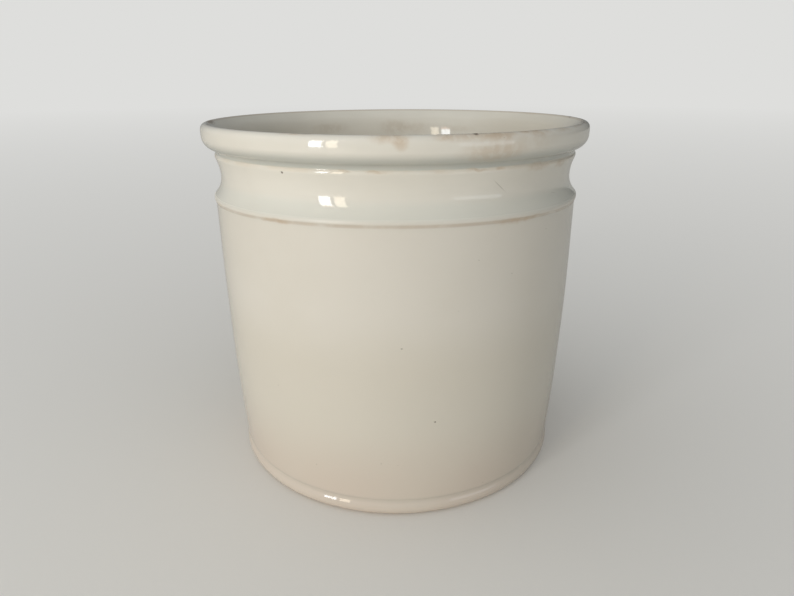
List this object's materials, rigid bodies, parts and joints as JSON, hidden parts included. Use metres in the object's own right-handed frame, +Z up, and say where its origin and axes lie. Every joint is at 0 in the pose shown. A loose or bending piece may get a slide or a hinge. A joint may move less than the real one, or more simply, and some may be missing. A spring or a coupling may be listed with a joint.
{
  "type": "ceramic fermenting crock",
  "caption": "Open glazed crock with a rolled rim, a hollow neck for tying a cover and a foot bead, holding two half-moon weights that lift out.",
  "frame": {"origin": "centre of the circle that the foot ring stands on", "axes": "+Z up along the crock's axis, +X towards the right-hand weight, -Y towards the front"},
  "size_m": [0.217, 0.217, 0.2],
  "materials": {
    "glazed_earthenware": "clear glossy glaze over an ivory body, worn and stained along the rim",
    "bisque_stoneware": "unglazed, matt, slightly sandy"
  },
  "bodies": {
    "crock": {"crock": "glazed_earthenware"},
    "left_weight": {"left_weight": "bisque_stoneware"},
    "right_weight": {"right_weight": "bisque_stoneware"}
  },
  "joints": [
    {"name": "left_weight_lift", "type": "slide", "parent": "crock", "child": "left_weight", "axis": [0, 0, 1], "range_m": [0, 0.22]},
    {"name": "right_weight_lift", "type": "slide", "parent": "crock", "child": "right_weight", "axis": [0, 0, 1], "range_m": [0, 0.22]}
  ]
}
